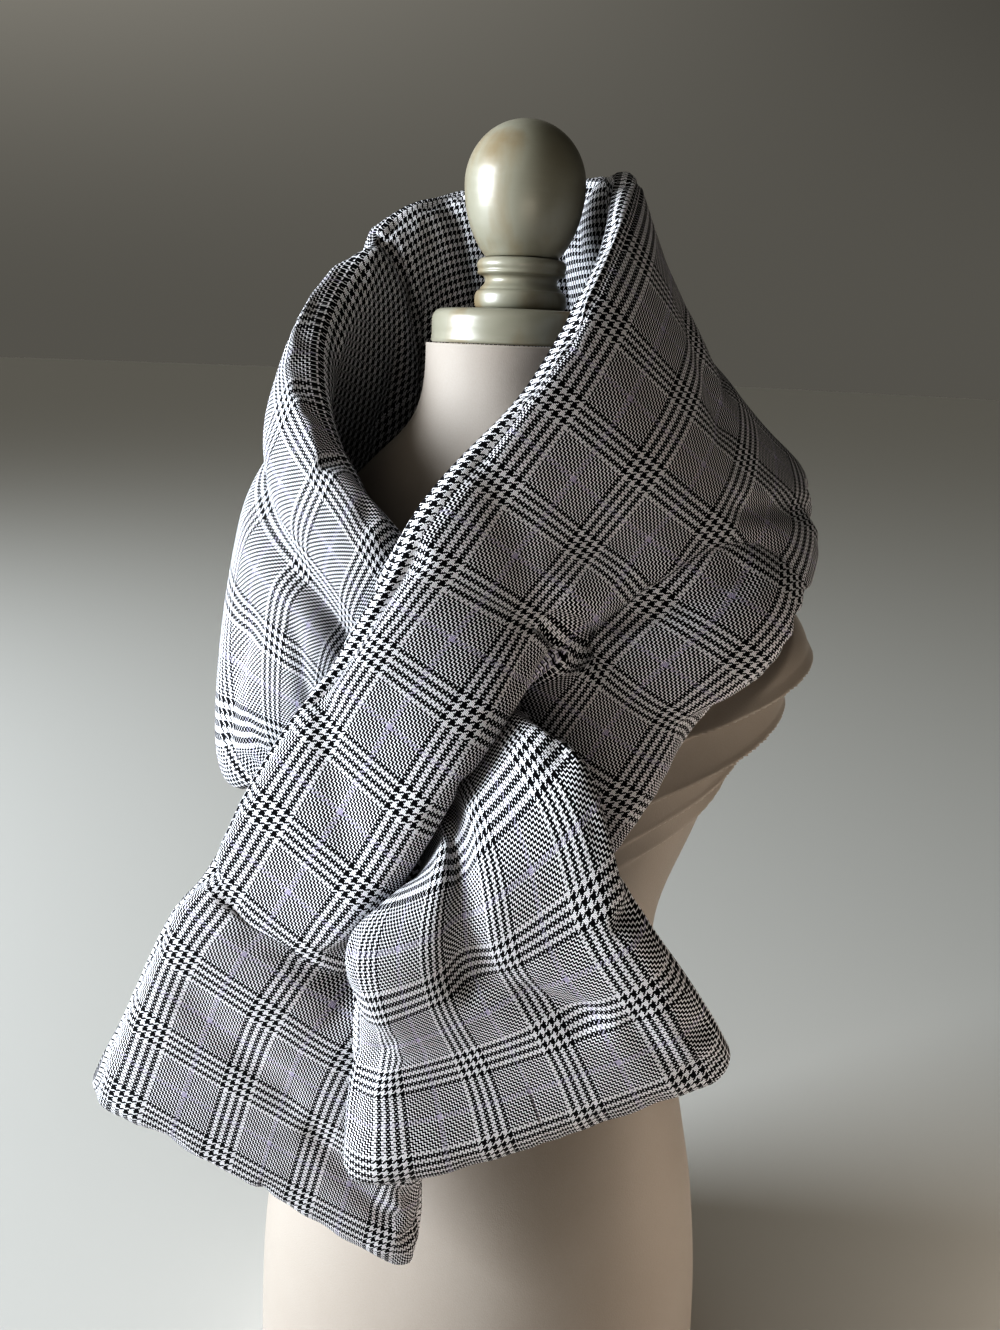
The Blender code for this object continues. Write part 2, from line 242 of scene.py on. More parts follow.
def smoothRise(x, low, high):
    # 0 below low, 1 above high, and the cubic 3t^2 - 2t^3 between
    t = np.clip((x - low) / (high - low), 0, 1)
    return t * t * (3 - 2 * t)


def degreesAside(turn, middle):
    # how far a turn in radians lies from the middle in degrees, between -180 and 180
    return (np.degrees(turn) - middle + 180) % 360 - 180


def formRadius(turn, height):
    # a superellipse at each height, with a rounded bump where the cover is bunched at the armhole;
    # above the neck's cap it falls away a millimetre in for a millimetre up
    table = np.array(form["sections"], float)
    within = np.clip(height, 0, form["neckTop"])
    size = splineThrough(table[:, 0], table[:, 1:], within.ravel()).reshape(height.shape + (3,))
    depth = np.where(np.cos(turn) > 0, size[..., 1], size[..., 2])
    square = form["square"]
    power = np.abs(np.sin(turn) / size[..., 0]) ** square + np.abs(np.cos(turn) / depth) ** square
    arm = form["armhole"]
    aside = degreesAside(turn, arm["turn"])
    bunch = arm["out"] * np.exp(-(aside / arm["wide"]) ** 2 - ((height - arm["height"]) / arm["tall"]) ** 2)
    above = np.maximum(height - form["neckTop"] - form["capTall"], 0)
    return np.maximum(power ** (-1 / square) + bunch - above, 0)


def formGap(points):
    # distance of points in mm from the form, along the radius
    turn = np.arctan2(points[..., 0], -points[..., 1])
    return np.hypot(points[..., 0], points[..., 1]) - formRadius(turn, points[..., 2])


def plumpEdge(distance, reach):
    # share of the full thickness: the square root of 1 - (1 - x)^5, a round edge over the reach
    x = np.clip(distance / reach, 0, 1)
    return np.sqrt(np.clip(1 - (1 - x) ** 5, 0, 1))


def foldDepth(repeat, share, folds):
    # each fold is a soft trough, a Gaussian of the distance from a straight line on the cloth
    along, across = repeat[:, None] * scarf["repeat"], share[None, :] * scarf["width"]
    depth = np.zeros((len(repeat), len(share)))
    for r0, s0, r1, s1, wide, deep in folds:
        dx, dy = (r1 - r0) * scarf["repeat"], (s1 - s0) * scarf["width"]
        length = math.hypot(dx, dy)
        x, y = along - r0 * scarf["repeat"], across - s0 * scarf["width"]
        on, off = (x * dx + y * dy) / length, (x * dy - y * dx) / length
        past = np.maximum(np.maximum(-on, on - length), 0)
        depth += deep * np.exp(-(off / wide) ** 2 - (past / wide) ** 2)
    return depth


def edgeDistances(repeat, share):
    # mm to the nearer long edge, as a row, and to the nearer hem, as a column
    first, last = scarf["lines"][0][0], scarf["lines"][-1][0]
    toEdge = np.minimum(share, 1 - share)[None, :] * scarf["width"]
    toHem = np.minimum(repeat - first, last - repeat)[:, None] * scarf["repeat"]
    return toEdge, toHem


def slitOpen(repeat, share, side):
    # a power of half a sine between the slit's ends, and the power grows towards the high end; the far half's
    # opening ends later the farther out across
    slit = scarf["slit"]
    last = slit["high"] + (slit["slant"] * (share - 0.5) if side > 0 else 0 * share)
    within = np.clip((repeat[:, None] - slit["low"]) / (last[None, :] - slit["low"]), 0, 1)
    power, more = slit["near" if side < 0 else "far"]
    return np.sin(math.pi * within) ** (power + more * within)


def scarfMiddle(repeat, share, side):
    # across each line a parabola through its three points in (turn, radius, height), splined along the
    # strip; beside the slit the near half is lifted, its lip curled under, and the far half lowered, its
    # lip reaching under the near one at the slit's low end; beyond the high end the lost thickness is given
    # back as a lift, so that the outer face runs on; all of it is pushed out softly to clear the form
    slit = scarf["slit"]
    table = np.array(scarf["lines"], float)
    line = splineThrough(table[:, 0], table[:, 1:], repeat)
    gape = slitOpen(repeat, share, side)
    curled = np.clip((share - slit["curlFrom"]) / slit["curlOver"], 0, 1) ** 2 if side < 0 else 0 * share
    within = np.clip((repeat - slit["low"]) / (slit["high"] - slit["low"]), 0, 1)[:, None]
    under = np.clip(1 - (share - 0.5) / slit["underOver"], 0, 1) ** 2 * gape * (1 - gape) * (1 - within)
    under = under * slit["under"] if side > 0 else 0
    t = (share[None, :] - slit["curl"] * curled * gape - under)[:, :, None]
    p = (line[:, None, 0:3] * (1 - t) * (1 - 2 * t) + line[:, None, 3:6] * 4 * t * (1 - t)
         + line[:, None, 6:9] * t * (2 * t - 1))
    lip = np.clip(1 - np.abs(2 * share - 1), 0, 1) ** slit["spread"] * gape
    p[..., 1] -= foldDepth(repeat, share, scarf["valleys"])
    p[..., 1] += slit["lift"] * (lip - slit["curlDip"] * curled * gape) if side < 0 else -slit["drop"] * lip
    toEdge, toHem = edgeDistances(repeat, share)
    half = scarf["slim"] * line[:, 9][:, None] * plumpEdge(toEdge, scarf["edgeReach"])
    full = half * plumpEdge(toHem, scarf["hemReach"])
    past = np.maximum(np.maximum(slit["low"] - repeat, repeat - slit["high"]), 0) * scarf["repeat"]
    toSlit = np.hypot(past[:, None], (share[None, :] - 0.5) * scarf["width"])
    beyond = np.clip(past / slit["blend"], 0, 1)[:, None]
    lips, runOn = plumpEdge(toSlit, slit["round"]), smoothRise(toSlit, 0, slit["round"])
    half = full * (lips * (1 - beyond) + runOn * beyond)
    p[..., 1] += (full - half) * smoothRise(repeat, slit["high"] - slit["level"], slit["high"])[:, None]
    turn, height = np.radians(p[..., 0]), p[..., 2]
    slope = (formRadius(turn, height + 1) - formRadius(turn, height - 1)) / 2
    least = formRadius(turn, height) + (half + scarf["clear"]) * np.sqrt(1 + slope ** 2)
    radius = (p[..., 1] + least + np.sqrt((p[..., 1] - least) ** 2 + scarf["soft"] ** 2)) / 2
    return np.stack([radius * np.sin(turn), -radius * np.cos(turn), height], -1), half


def cornerPull(repeat, share):
    # rounds the four corners: beside a long edge the hem is drawn in by the sagitta of a circle, less and
    # less away from the hem
    ends = scarf["lines"][0][0], scarf["lines"][-1][0]
    radius, reach, part = scarf["corner"]
    toEdge = edgeDistances(repeat, share)[0]
    drawn = radius - np.sqrt(np.clip(radius ** 2 - np.clip(radius - toEdge, 0, None) ** 2, 0, None))
    away = [(np.abs(repeat - end) * scarf["repeat"])[:, None] for end in ends]
    weigh = [np.clip(1 - far / (reach * radius), 0, 1) ** 2 for far in away]
    return part * drawn * (weigh[0] - weigh[1])


def weltWidth(repeat):
    # wider towards the shoulder, gone on the way round the back
    welt = scarf["welt"]
    return (np.clip(welt["start"] + welt["rise"] * repeat, 0, welt["most"])
            * (1 - smoothRise(repeat, *welt["fade"])))


def seamGroove(repeat, share):
    # a narrow trough where the welt meets the outer cloth
    welt = scarf["welt"]
    wide = weltWidth(repeat)[:, None]
    away = share[None, :] * scarf["width"] - wide
    return welt["groove"] * np.exp(-(away / welt["grooveWide"]) ** 2) * (wide > welt["grooveFrom"])


def gatherWaves(place, drift, waves):
    # a sum of sines of uneven length; the first one's phase drifts by a slow sine
    total, shift = 0, drift[0] * np.sin(place / drift[1])
    for high, length, phase in waves:
        total = total + high * np.sin(place / length + phase + shift)
        shift = 0
    return total


def pucker(repeat, share):
    # small gathers along the sewn edges: nothing on the edge itself, most a few millimetres in, then they
    # die away as x e^(1 - x)
    along = repeat[:, None] * scarf["repeat"]
    beside = share[None, :] * scarf["width"]
    toEdge, toHem = edgeDistances(repeat, share)
    welt = scarf["welt"]
    stilled = 1 - welt["still"] * smoothRise(weltWidth(repeat), *welt["stillBetween"])[:, None]
    side = gatherWaves(along, scarf["edgeDrift"], scarf["edgeWaves"])
    side = side * np.where(share[None, :] > 0.5, 1, stilled)
    hem = gatherWaves(beside, scarf["hemDrift"], scarf["hemWaves"])
    reach = scarf["puckerReach"]
    return scarf["pucker"] * (side * toEdge / reach * np.exp(1 - toEdge / reach)
                              + hem * toHem / reach * np.exp(1 - toHem / reach))


def scarfFaces(repeat, share, side):
    # both faces lie half the thickness off the middle surface along its normal; the outer dips in its folds
    step = 0.01
    middle, half = scarfMiddle(repeat, share, side)
    along = scarfMiddle(repeat + step, share, side)[0] - scarfMiddle(repeat - step, share, side)[0]
    across = scarfMiddle(repeat, share + step, side)[0] - scarfMiddle(repeat, share - step, side)[0]
    normal = np.cross(across, along)
    normal /= np.linalg.norm(normal, axis=-1, keepdims=True)
    forward = along / np.linalg.norm(along, axis=-1, keepdims=True)
    middle = middle + forward * cornerPull(repeat, share)[..., None]
    # a fold's depth d is held softly below the limit m by d / sqrt(1 + (d / m)^2)
    fold = foldDepth(repeat, share, scarf["folds"])
    times, more = scarf["foldLimit"]
    dip = fold / np.sqrt(1 + (fold / (times * half + more)) ** 2)
    thin = np.minimum(1, half / scarf["welt"]["grooveThin"])
    dip = dip + seamGroove(repeat, share) * thin + pucker(repeat, share)
    inner = half - np.minimum(foldDepth(repeat, share, scarf["tucks"]), scarf["tuckLimit"] * half)
    return middle + normal * (half - dip)[..., None], middle - normal * inner[..., None]


def scarfLattice(rowLength, columns):
    # rows along the strip with a stop at each end of the slit; columns closer together at a half's edges
    slit, lines = scarf["slit"], scarf["lines"]
    stops = [lines[0][0], slit["low"], slit["high"], lines[-1][0]]
    counts = [round((b - a) * scarf["repeat"] / rowLength) + 1 for a, b in zip(stops, stops[1:])]
    spans = [np.linspace(a, b, count)[:-1] for a, b, count in zip(stops, stops[1:], counts)]
    repeat = np.concatenate(spans + [[stops[-1]]])
    x = np.linspace(0, 1, columns + 1)
    near = 0.5 * (x - scarf["crowd"] * np.sin(2 * math.pi * x) / (2 * math.pi))
    return repeat, near, 1 - near[::-1]


def scarfNumbers(repeat, columns):
    # point numbers of the four sheets (outer and inner, near half and far half), shared where the cloth is
    # sewn or runs on: at the two long edges, both hems, the slit's lips and the middle line beyond the slit
    count = len(repeat) * (columns + 1)
    outNear, inNear, outFar, inFar = np.arange(4 * count).reshape(4, len(repeat), columns + 1)
    slit, tiny = scarf["slit"], 1e-6
    inside = (repeat > slit["low"] + tiny) & (repeat < slit["high"] - tiny)
    ends = np.isclose(repeat, slit["low"]) | np.isclose(repeat, slit["high"])
    beyond = ~inside & ~ends
    outFar[~inside, 0] = outNear[~inside, -1]
    inFar[beyond, 0] = inNear[beyond, -1]
    inFar[~beyond, 0] = outFar[~beyond, 0]
    inNear[~beyond, -1] = outNear[~beyond, -1]
    inNear[:, 0] = outNear[:, 0]
    inFar[:, -1] = outFar[:, -1]
    for row in (0, -1):
        inNear[row], inFar[row] = outNear[row], outFar[row]
    return outNear, inNear, outFar, inFar


def meshFrom(name, points, quads, loopUvs=None, triangles=None):
    # points in metres, faces as rows of four and of three point numbers; unused points are left out
    corners = np.concatenate([quads.ravel()] + ([] if triangles is None else [triangles.ravel()]))
    used, corners = np.unique(corners, return_inverse=True)
    starts = np.arange(0, quads.size, 4)
    if triangles is not None:
        starts = np.concatenate([starts, np.arange(quads.size, len(corners), 3)])
    mesh = bpy.data.meshes.new(name)
    mesh.vertices.add(len(used))
    mesh.vertices.foreach_set("co", points[used].astype(np.float32).ravel())
    mesh.loops.add(len(corners))
    mesh.loops.foreach_set("vertex_index", corners.ravel().astype(np.int32))
    mesh.polygons.add(len(starts))
    mesh.polygons.foreach_set("loop_start", starts.astype(np.int32))
    mesh.update(calc_edges=True)
    mesh.shade_smooth()
    if loopUvs is not None:
        layer = mesh.uv_layers.new(name="UVMap")
        layer.uv.foreach_set("vector", loopUvs.astype(np.float32).ravel())
    piece = bpy.data.objects.new(name, mesh)
    scene.collection.objects.link(piece)
    return piece


def gridCorners(grid, outward=True):
    # the four corners of each cell of a grid, in the order that faces the wanted way
    corners = [grid[:-1, :-1], grid[:-1, 1:], grid[1:, 1:], grid[1:, :-1]]
    return np.stack(corners if outward else corners[::-1], 2)


def gridQuads(numbers, outward=True):
    return gridCorners(numbers, outward).reshape(-1, 4)


# The padding's puff, worked out as cloth on a coarse copy of the strip.
puff = {
    "rows": 7.5,  # row length in mm, and columns
    "columns": 14,
    "pressure": 4.0,
    "slack": 0.09,  # how much longer the cloth is than its shape
    "steps": 22,
    "quality": 4,
    "mass": 0.2,
    "stretch": 12.0,
    "shear": 4.0,
    "bend": 0.3,
    "damping": 8.0,
    "drift": 45.0,  # width in mm of the slow drift that is taken off the moves
    "gain": 1.2,  # what is left counts this much
    "cap": 7.0,  # the farthest a point moves, in mm
    "still": 26.0,  # reach in mm of the calm round each end of the slit
    "free": (5, 16),  # gap to the form in mm between which the inner face gets free to move
}


def clothPuff():
    # moves of the coarse lattice's points under pressure, as four grids, one for each sheet
    repeat, near, far = scarfLattice(puff["rows"], puff["columns"])
    sheets = scarfNumbers(repeat, puff["columns"])
    points = np.zeros((4 * sheets[0].size, 3))
    for side, share, (outer, inner) in ((-1, near, sheets[:2]), (1, far, sheets[2:])):
        outside, inside = scarfFaces(repeat, share, side)
        points[inner] = inside * mm
        points[outer] = outside * mm
    quads = np.concatenate([gridQuads(numbers, k % 2 == 0) for k, numbers in enumerate(sheets)])
    pad = meshFrom("pad", points, quads)
    cloth = pad.modifiers.new("puff", "CLOTH").settings
    cloth.quality = puff["quality"]
    cloth.mass = puff["mass"]
    cloth.tension_stiffness = puff["stretch"]
    cloth.compression_stiffness = puff["stretch"]
    cloth.shear_stiffness = puff["shear"]
    cloth.bending_stiffness = puff["bend"]
    cloth.tension_damping = puff["damping"]
    cloth.compression_damping = puff["damping"]
    cloth.use_pressure = True
    cloth.uniform_pressure_force = puff["pressure"]
    cloth.shrink_min = -puff["slack"]
    cloth.effector_weights.gravity = 0.0
    for step in range(1, puff["steps"] + 1):
        scene.frame_set(step)
    posed = pad.evaluated_get(bpy.context.evaluated_depsgraph_get()).data
    moved = np.zeros(len(pad.data.vertices) * 3, np.float32)
    posed.vertices.foreach_get("co", moved)
    used = np.unique(quads)
    moves = np.zeros_like(points)
    moves[used] = moved.reshape(-1, 3) - points[used]
    scene.frame_set(1)
    bpy.data.objects.remove(pad, do_unlink=True)
    return repeat, near, far, [moves[numbers] / mm for numbers in sheets]


def softAverage(at, values, wide):
    # weighted mean along the first axis, the weights a Gaussian of the distance
    weights = np.exp(-((at[:, None] - at[None, :]) / wide) ** 2)
    return np.tensordot(weights / weights.sum(1, keepdims=True), values, 1)


def puffMoves(repeat, near, far):
    # the coarse moves less their slow drift, capped by x / sqrt(1 + (x / cap)^2), splined on to the fine
    # lattice, and stilled round the slit's two ends by 1 less a Gaussian of the distance
    rows, coarseNear, coarseFar, moves = clothPuff()
    along = rows * scarf["repeat"]
    fine = []
    for first, share, wanted in ((0, coarseNear, near), (2, coarseFar, far)):
        across, beside = share * scarf["width"], (wanted[None, :] - 0.5) * scarf["width"]
        drift = softAverage(along, (moves[first] + moves[first + 1]) / 2, puff["drift"])
        drift = softAverage(across, drift.swapaxes(0, 1), puff["drift"]).swapaxes(0, 1)
        for grid in moves[first:first + 2]:
            grid = (grid - drift) * puff["gain"]
            size = np.linalg.norm(grid, axis=-1, keepdims=True)
            grid = grid / np.sqrt(1 + (size / puff["cap"]) ** 2)
            grid = splineThrough(along, grid, repeat * scarf["repeat"])
            grid = splineThrough(across, grid.swapaxes(0, 1), wanted * scarf["width"]).swapaxes(0, 1)
            for end in (scarf["slit"]["low"], scarf["slit"]["high"]):
                away = np.hypot((repeat[:, None] - end) * scarf["repeat"], beside)
                grid = grid * (1 - np.exp(-(away / puff["still"]) ** 2))[..., None]
            fine.append(grid)
    return fine


def makeScarf():
    # two faces on each half of the strip, with the puff's moves; the UV is the flat cloth's place in repeats
    repeat, near, far = scarfLattice(scarf["rows"], scarf["columns"])
    sheets = scarfNumbers(repeat, scarf["columns"])
    points = np.zeros((4 * sheets[0].size, 3))
    moves = puffMoves(repeat, near, far)
    for side, share, first in ((-1, near, 0), (1, far, 2)):
        outside, inside = scarfFaces(repeat, share, side)
        free = smoothRise(formGap(inside), *puff["free"])[..., None]
        points[sheets[first + 1]] = (inside + moves[first + 1] * free) * mm
        points[sheets[first]] = (outside + moves[first]) * mm
    quads, uvs, cloth = [], [], []
    for share, outer, inner in ((near, *sheets[:2]), (far, *sheets[2:])):
        flat = np.stack(np.meshgrid(share * scarf["width"] / scarf["repeat"], repeat), -1)
        for numbers, outward in ((outer, True), (inner, False)):
            quads.append(gridQuads(numbers, outward))
            uvs.append(gridCorners(flat, outward).reshape(-1, 2))
            cloth.append(np.full(len(quads[-1]), 0 if outward else 1))
    piece = meshFrom("puffer_scarf", points, np.concatenate(quads), np.concatenate(uvs))
    piece.data.polygons.foreach_set("material_index", np.concatenate(cloth).astype(np.int32))
    piece.data.materials.append(clothMaterial("plaid_cloth", plaid=True))
    piece.data.materials.append(clothMaterial("houndstooth_lining", plaid=False))
    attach(piece, "root")
    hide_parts("scarf_front_end", "scarf_shoulder", "scarf_collar", "scarf_left_band",
                "scarf_pulled_end")
    return piece


# The cloth. A repeat is 88 bold threads wide; the plaid has 32 of them and 48 wider ones, the lining 88.
weave = {
    "threads": 88.0,
    "middle": 44.0,  # number at the middle of the bold lines, and half their threads
    "boldHalf": 16.0,
    "wider": 24.0 / 28.0,  # fine threads in the place of bold ones
    "lavenderFrom": 38.0,  # threads from the middle where the lavender ones begin
    "firstLine": 0.428,  # where the plaid's middle line lies across the strip, in repeats
    "black": (0.006, 0.006, 0.009, 1),
    "white": (0.84, 0.84, 0.885, 1),
    "lavender": (0.54, 0.51, 0.67, 1),
    "faint": 0.55,  # the lavender's strength beside its crossings
    "bleed": 0.12,  # how far a bold line keeps its colour under the fine threads
    "paintedShadeRamp": (2.2, -0.55),  # painted light on a thread's top and painted shade in the gap beside it, as a slope and a start, and how much lighter the top is than the gap
    "paintedGapShade": 0.8,
    "fibres": (90.0, 3.0),  # scale and detail of the uneven fibres, their strength and the least brightness, which is what the painted shade leaves in the gaps
    "uneven": 0.24,
    "least": 0.06,
    "bump": 0.6,
    "relief": 0.00022,
    "roughness": 0.88,
    "sheen": (0.04, 0.5),
    "specular": 0.2,
}


def setOrLink(tree, socket, value):
    # a value is a number, a colour or another node's output
    if isinstance(value, bpy.types.NodeSocket):
        tree.links.new(value, socket)
    else:
        socket.default_value = value


def calc(tree, operation, *values):
    # one maths node
    node = tree.nodes.new("ShaderNodeMath")
    node.operation = operation
    for socket, value in zip(node.inputs, values):
        setOrLink(tree, socket, value)
    return node.outputs[0]


def clampShare(tree, value):
    return calc(tree, "MINIMUM", calc(tree, "MAXIMUM", value, 0.0), 1.0)


def mixShare(tree, share, first, second):
    # first where the share is 0, second where it is 1
    kept = calc(tree, "MULTIPLY", calc(tree, "SUBTRACT", 1.0, share), first)
    return calc(tree, "MULTIPLY_ADD", share, second, kept)


def mixColours(tree, share, first, second):
    node = tree.nodes.new("ShaderNodeMix")
    node.data_type = "RGBA"
    for socket, value in ((node.inputs["Factor"], share), (node.inputs[6], first), (node.inputs[7], second)):
        setOrLink(tree, socket, value)
    return node.outputs[2]


def newMaterial(name, roughness):
    material = bpy.data.materials.new(name)
    material.use_nodes = True
    tree = material.node_tree
    shader = tree.nodes["Principled BSDF"]
    shader.inputs["Roughness"].default_value = roughness
    return material, tree, shader


def setSheen(shader, sheen, specular):
    shader.inputs["Sheen Weight"].default_value = sheen[0]
    shader.inputs["Sheen Roughness"].default_value = sheen[1]
    shader.inputs["Specular IOR Level"].default_value = specular


def splitAxes(tree, output):
    split = tree.nodes.new("ShaderNodeSeparateXYZ")
    tree.links.new(output, split.inputs[0])
    return split.outputs


def noiseOf(tree, scale, detail, stretch=(1.0, 1.0, 1.0)):
    # noise over the object's own metres, stretched by a factor on each axis
    place = tree.nodes.new("ShaderNodeTexCoord")
    fit = tree.nodes.new("ShaderNodeMapping")
    fit.inputs["Scale"].default_value = stretch
    noise = tree.nodes.new("ShaderNodeTexNoise")
    noise.inputs["Scale"].default_value = scale
    noise.inputs["Detail"].default_value = detail
    tree.links.new(place.outputs["Object"], fit.inputs["Vector"])
    tree.links.new(fit.outputs[0], noise.inputs["Vector"])
    return noise.outputs["Fac"]


def bumpFrom(tree, shader, height, strength, distance):
    bump = tree.nodes.new("ShaderNodeBump")
    bump.inputs["Strength"].default_value = strength
    bump.inputs["Distance"].default_value = distance
    tree.links.new(height, bump.inputs["Height"])
    tree.links.new(bump.outputs[0], shader.inputs["Normal"])


def threadNumber(tree, place, even):
    # the thread's number in its repeat and the place within it; where even is 1 the numbers go from 0 to
    # 87, and elsewhere from 4 to 83, because beyond the bold lines there are fewer to the mm
    within = calc(tree, "MULTIPLY", calc(tree, "FRACT", calc(tree, "ADD", place, 0.5)), weave["threads"])
    aside = calc(tree, "SUBTRACT", within, weave["middle"])
    far = calc(tree, "SUBTRACT", calc(tree, "ABSOLUTE", aside), weave["boldHalf"])
    far = calc(tree, "MULTIPLY", calc(tree, "MAXIMUM", far, 0.0), calc(tree, "SIGN", aside))
    drawn = calc(tree, "MULTIPLY", far, 1.0 - weave["wider"])
    within = calc(tree, "SUBTRACT", within, calc(tree, "MULTIPLY", drawn, calc(tree, "SUBTRACT", 1.0, even)))
    return calc(tree, "FLOOR", within), calc(tree, "FRACT", within)


def oneDark(tree, number):
    # every other thread dark
    return calc(tree, "LESS_THAN", calc(tree, "MODULO", number, 2.0), 0.5)


def fourDark(tree, number):
    # four light threads, then four dark
    return calc(tree, "GREATER_THAN", calc(tree, "MODULO", number, 8.0), 3.5)


def fromMiddle(tree, number):
    # threads between a thread's own middle and that of the bold lines
    return calc(tree, "ABSOLUTE", calc(tree, "SUBTRACT", number, weave["middle"] - 0.5))


def boldZone(tree, number):
    # threads 28 to 59
    return calc(tree, "LESS_THAN", fromMiddle(tree, number), weave["boldHalf"])


def lavenderZone(tree, number):
    # the four threads in the middle of the fine zone, 82 to 5
    return calc(tree, "GREATER_THAN", fromMiddle(tree, number), weave["lavenderFrom"])


def plaidThread(tree, number, crossing):
    # bold lines by fours, the rest one by one; lavender threads are full where they cross, faint beside
    bold = boldZone(tree, number)
    dark = mixShare(tree, bold, oneDark(tree, number), fourDark(tree, number))
    full = mixShare(tree, lavenderZone(tree, crossing), weave["faint"], 1.0)
    lavender = calc(tree, "MULTIPLY", lavenderZone(tree, number), full)
    plain = mixColours(tree, dark, weave["white"], weave["black"])
    return mixColours(tree, lavender, plain, weave["lavender"])


def liningThread(tree, number):
    return mixColours(tree, fourDark(tree, number), weave["white"], weave["black"])


def weltShows(tree, across, along):
    # 1 on the welt, whose width follows the same straight rise as in the mesh
    welt = scarf["welt"]
    width = calc(tree, "ADD", calc(tree, "MULTIPLY", along, welt["rise"]), welt["start"])
    width = calc(tree, "MINIMUM", width, welt["most"])
    width = calc(tree, "MULTIPLY", width, calc(tree, "LESS_THAN", along, welt["shown"]))
    return calc(tree, "LESS_THAN", calc(tree, "MULTIPLY", across, scarf["repeat"]), width)


def clothMaterial(name, plaid):
    material, tree, shader = newMaterial(name, weave["roughness"])
    uv = tree.nodes.new("ShaderNodeUVMap")
    uv.uv_map = "UVMap"
    across, along = splitAxes(tree, uv.outputs[0])[:2]
    even = weltShows(tree, across, along) if plaid else 1.0
    warp, inWarp = threadNumber(tree, calc(tree, "SUBTRACT", across, weave["firstLine"]), even)
    weft, inWeft = threadNumber(tree, calc(tree, "MULTIPLY", along, -1.0), even)
    # 2/2 twill: the thread along the strip is on top where the two numbers add up to 0 or 1 in fours
    warpUp = calc(tree, "LESS_THAN", calc(tree, "MODULO", calc(tree, "ADD", warp, weft), 4.0), 1.5)
    colour = mixColours(tree, warpUp, liningThread(tree, weft), liningThread(tree, warp))
    if plaid:
        # a bold line keeps some of its own colour under the fine threads that cross over it
        alone = [calc(tree, "MULTIPLY", boldZone(tree, a), calc(tree, "SUBTRACT", 1.0, boldZone(tree, b)))
                 for a, b in ((warp, weft), (weft, warp))]
        warpShare = mixShare(tree, warpUp, calc(tree, "MULTIPLY", alone[0], weave["bleed"]),
                             calc(tree, "MULTIPLY_ADD", alone[1], -weave["bleed"], 1.0))
        outer = mixColours(tree, warpShare, plaidThread(tree, weft, warp), plaidThread(tree, warp, weft))
        colour = mixColours(tree, even, outer, colour)
    # each thread is half a sine across; the one on top sets the relief, and painted shade darkens its colour
    # where it turns under, in the gaps between threads
    warpRound = calc(tree, "SINE", calc(tree, "MULTIPLY", inWarp, math.pi))
    weftRound = calc(tree, "SINE", calc(tree, "MULTIPLY", inWeft, math.pi))
    height = calc(tree, "ADD", calc(tree, "MULTIPLY", warpUp, warpRound),
                  calc(tree, "MULTIPLY", calc(tree, "SUBTRACT", 1.0, warpUp), weftRound))
    fibres = calc(tree, "MULTIPLY_ADD", noiseOf(tree, *weave["fibres"]), weave["uneven"], weave["least"])
    # painted light and shade across each thread: 1 on its lit top, 0 in the shaded gap
    paintedShadeRamp = clampShare(tree, calc(tree, "MULTIPLY_ADD", height, *weave["paintedShadeRamp"]))
    # the thread colour scaled by the painted shade and the uneven fibres
    shade = tree.nodes.new("ShaderNodeVectorMath")
    shade.operation = "SCALE"
    tree.links.new(colour, shade.inputs[0])
    tree.links.new(calc(tree, "MULTIPLY_ADD", paintedShadeRamp, weave["paintedGapShade"], fibres), shade.inputs["Scale"])
    tree.links.new(shade.outputs[0], shader.inputs["Base Color"])
    bumpFrom(tree, shader, height, weave["bump"], weave["relief"])
    setSheen(shader, weave["sheen"], weave["specular"])
    return material


puffer = makeScarf()
print("scarf made:", len(puffer.data.polygons), "faces")

# The form's cover, with its folds where it is gathered at the armhole, each lapping over the one below.
cover = {
    "rows": 200,  # rings below the armhole, and as many beside it, between these heights in mm
    "close": (488.0, 668.0),
    # each fold's lower lip: its height, how far out it stands and how far up the fold reaches
    "folds": [(609, 17, 60), (574, 21, 45), (549, 10, 32), (529, 7, 26)],
    "lip": 1.2,  # half the height over which a lip steps out
    "fade": 1.3,  # power by which a fold dies away above its lip
    "rise": 0.75,  # mm by which the lips rise for a degree of turn, and less for its square
    "sag": 0.012,
    "reach": 34.0,  # degrees round the form that the folds reach in front, and less behind the armhole
    "behind": 17.0,
    "under": (66.0, 577.0, 2.6),  # the scarf's edge above them: turn, height and rise for a degree
    "underBetween": (-15, -3),
    "uneven": 0.5,  # slow waves in mm, and the heights between which they set in
    "unevenFrom": (60, 200),
    "hem": 4.0,  # radius of the bottom edge
    "colour": (0.32, 0.292, 0.268, 1),
    "worn": (0.275, 0.24, 0.21, 1),
    "roughness": 0.62,
    "loops": (1500.0, 1.0, (1.0, 1.0, 0.6)),  # scale, detail and stretch of the knit's noise and the wear's
    "wear": (11.0, 4.0),
    "mixed": (0.5, 0.8, -0.35),  # how much of each noise goes into the colour, and where it starts
    "bump": (0.35, 0.0003),
    "sheen": (0.25, 0.35),
    "specular": 0.35,
}


